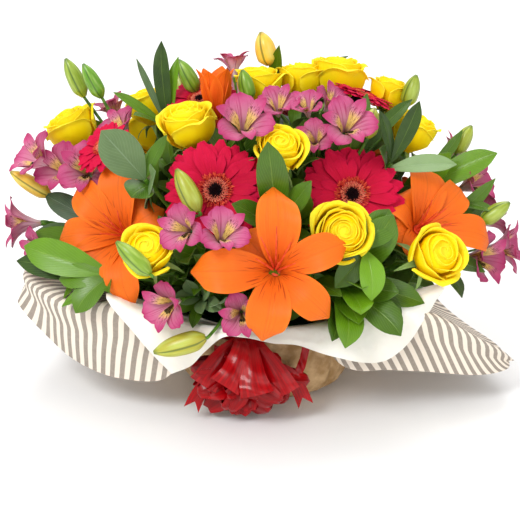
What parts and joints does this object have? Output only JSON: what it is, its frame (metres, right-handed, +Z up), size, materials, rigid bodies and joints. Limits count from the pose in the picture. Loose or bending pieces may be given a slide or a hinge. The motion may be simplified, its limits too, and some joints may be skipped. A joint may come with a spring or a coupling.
{
  "type": "flower arrangement",
  "caption": "Low dome of cut flowers and leaves that stand in a foam-filled bowl, wrapped in paper sheets and tied with a ribbon bow.",
  "frame": {"origin": "middle of the flat base that the arrangement stands on", "axes": "+Z up, -Y towards the side with the bow, +X to the right as seen from that side"},
  "size_m": [0.5136, 0.3773, 0.3425],
  "materials": {
    "alstroemeria_petals": "soft satin petals",
    "bowl_plastic": "matt",
    "floral_foam": "open-celled wet foam",
    "gerbera_petals": "soft satin petals",
    "kraft_paper": "matt brown wrapping paper",
    "leaf": "waxy satin leaves",
    "lily_petals": "soft satin petals",
    "ribbon": "gloss",
    "rose_petals": "soft matt petals",
    "striped_paper": "matt paper with thin stripes",
    "white_paper": "smooth matt paper"
  },
  "bodies": {
    "root": {"alstroemeria_back_left": "alstroemeria_petals", "alstroemeria_back_right": "alstroemeria_petals", "alstroemeria_centre": "alstroemeria_petals", "alstroemeria_crown": "alstroemeria_petals", "alstroemeria_crown_back": "alstroemeria_petals", "alstroemeria_far_left": "alstroemeria_petals", "alstroemeria_left": "alstroemeria_petals", "alstroemeria_low_front": "alstroemeria_petals", "alstroemeria_low_left": "alstroemeria_petals", "alstroemeria_right_lower": "alstroemeria_petals", "alstroemeria_right_upper": "alstroemeria_petals", "alstroemeria_top_left": "alstroemeria_petals", "alstroemeria_top_right": "alstroemeria_petals", "bowl": "bowl_plastic", "floral_foam": "floral_foam", "gerbera_back": "gerbera_petals", "gerbera_far_left": "gerbera_petals", "gerbera_left": "gerbera_petals", "gerbera_right": "gerbera_petals", "gerbera_top_left": "gerbera_petals", "gerbera_top_right": "gerbera_petals", "kraft_wrap": "kraft_paper", "leaves_back_left": "leaf", "leaves_back_right": "leaf", "leaves_centre": "leaf", "leaves_crown": "leaf", "leaves_left_front": "leaf", "leaves_left_low": "leaf", "leaves_left_outer": "leaf", "leaves_left_top": "leaf", "leaves_low_left": "leaf", "leaves_right_low": "leaf", "leaves_right_outer": "leaf", "leaves_right_top": "leaf", "lily_back_left": "lily_petals", "lily_back_right": "lily_petals", "lily_front": "lily_petals", "lily_half_open": "lily_petals", "lily_left": "lily_petals", "lily_right": "lily_petals", "lily_upper_right": "lily_petals", "ribbon_band": "ribbon", "ribbon_bow": "ribbon", "rose_back_left": "rose_petals", "rose_back_low": "rose_petals", "rose_back_right": "rose_petals", "rose_crown_back": "rose_petals", "rose_crown_front": "rose_petals", "rose_crown_middle": "rose_petals", "rose_crown_right": "rose_petals", "rose_front": "rose_petals", "rose_left_inner": "rose_petals", "rose_left_low": "rose_petals", "rose_left_outer": "rose_petals", "rose_left_upper": "rose_petals", "rose_right_low": "rose_petals", "rose_right_outer": "rose_petals", "rose_right_upper": "rose_petals", "striped_sheet": "striped_paper", "white_sheet": "white_paper"}
  },
  "joints": []
}
